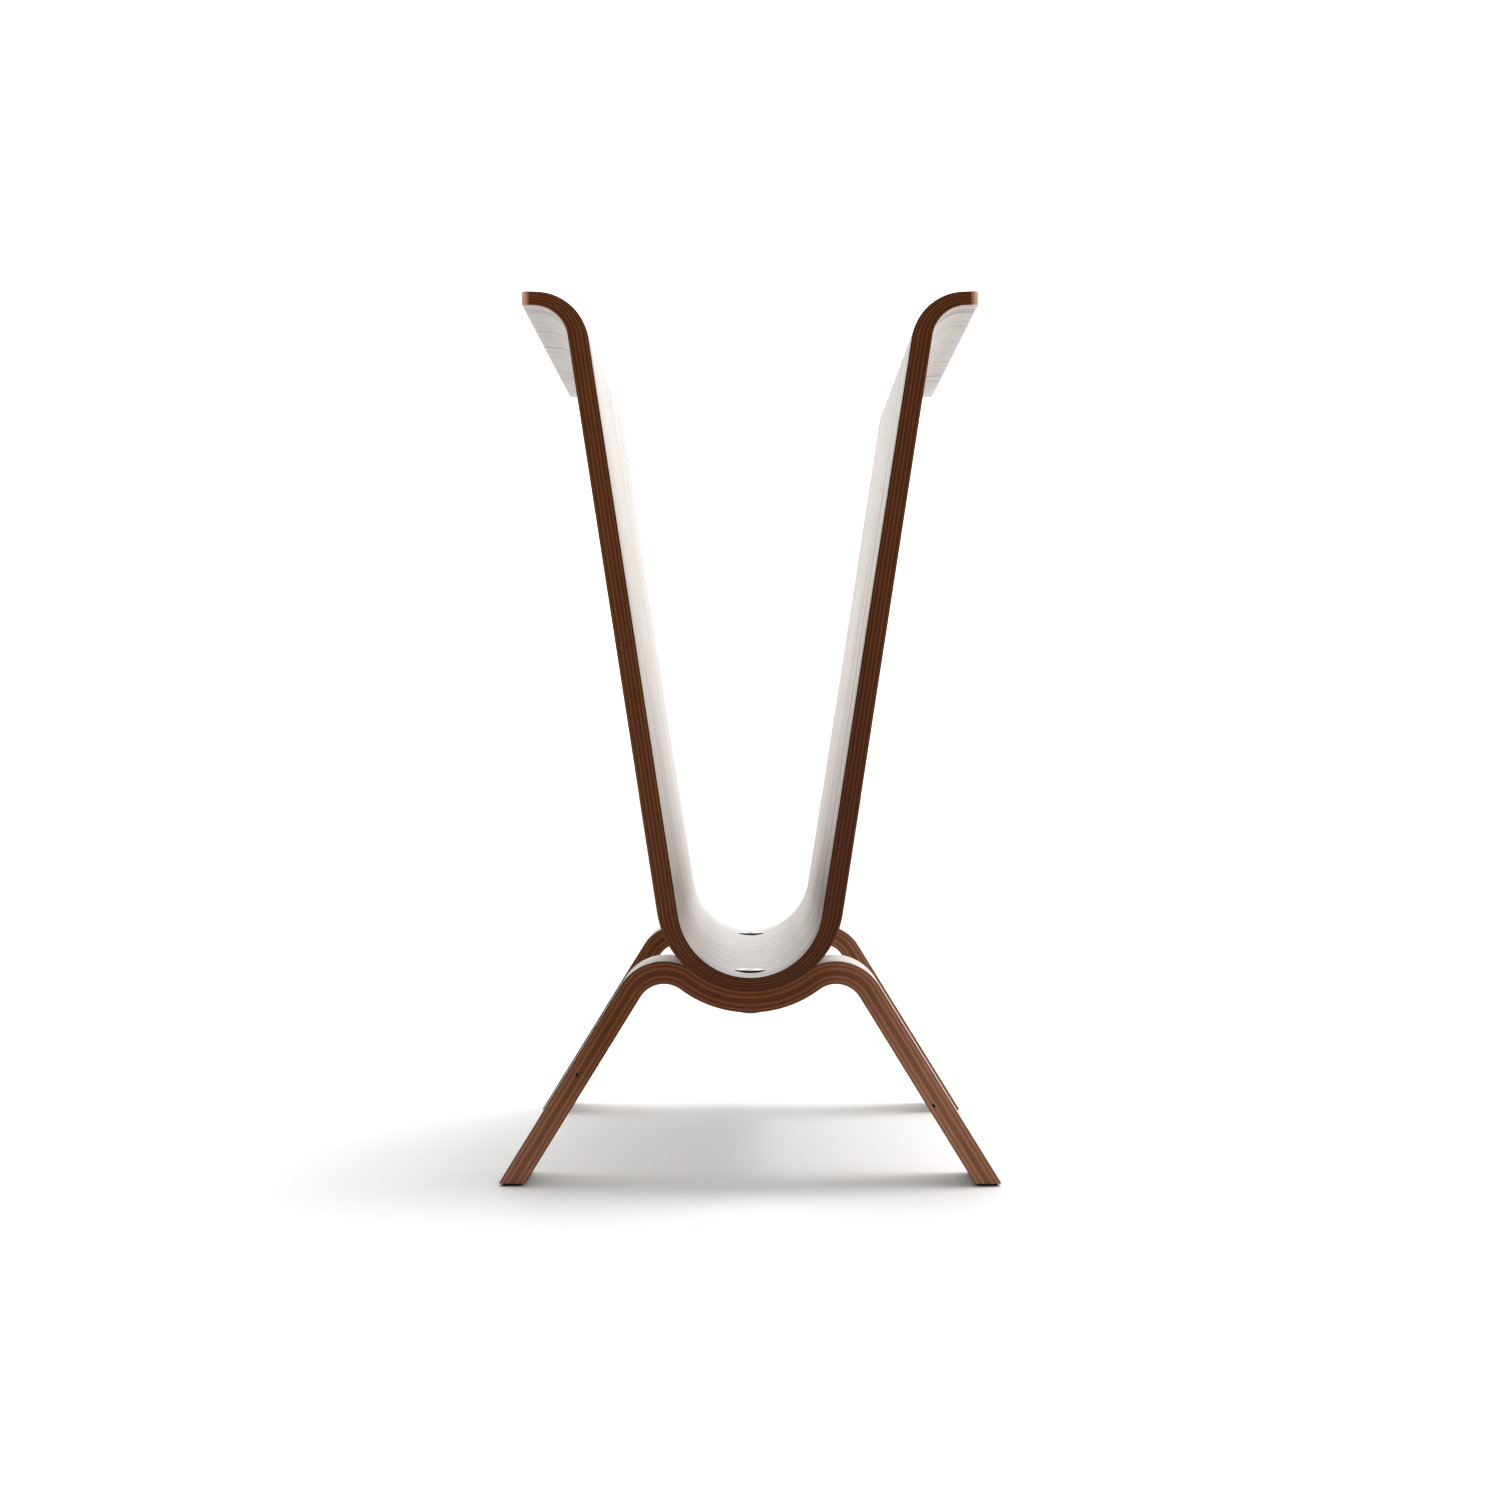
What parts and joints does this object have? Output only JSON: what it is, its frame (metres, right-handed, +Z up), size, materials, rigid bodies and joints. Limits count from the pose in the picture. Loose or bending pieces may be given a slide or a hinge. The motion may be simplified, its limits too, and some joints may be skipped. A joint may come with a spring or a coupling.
{
  "type": "magazine rack",
  "caption": "Moulded plywood magazine rack: a deep V-shaped holder with outward-curled lips, bolted into bent leg bows at both ends.",
  "frame": {"origin": "on the floor, under the middle of the rack", "axes": "+X to the right across the rack, +Y from the front end to the rear end along the holder, +Z up"},
  "size_m": [0.254, 0.38, 0.45],
  "materials": {
    "face_veneer": "white-washed face veneer, matt lacquer",
    "shell_plies": "dark walnut-stained ply edges, satin lacquer",
    "bow_plies": "walnut ply edges, satin lacquer",
    "bolt_metal": "black nickel plate, polished",
    "nut_metal": "black nickel plate, slightly brushed",
    "pad_rubber": "matt black rubber"
  },
  "bodies": {
    "root": {"shell_inner_veneer": "face_veneer", "shell_core": "shell_plies", "shell_outer_veneer": "face_veneer", "front_bow_top_veneer": "face_veneer", "front_bow_core": "bow_plies", "front_bow_under_veneer": "face_veneer", "front_bolt": "bolt_metal", "front_cap_nut": "nut_metal", "front_left_foot_pad": "pad_rubber", "front_right_foot_pad": "pad_rubber", "rear_bow_top_veneer": "face_veneer", "rear_bow_core": "bow_plies", "rear_bow_under_veneer": "face_veneer", "rear_bolt": "bolt_metal", "rear_cap_nut": "nut_metal", "rear_left_foot_pad": "pad_rubber", "rear_right_foot_pad": "pad_rubber"}
  },
  "joints": []
}
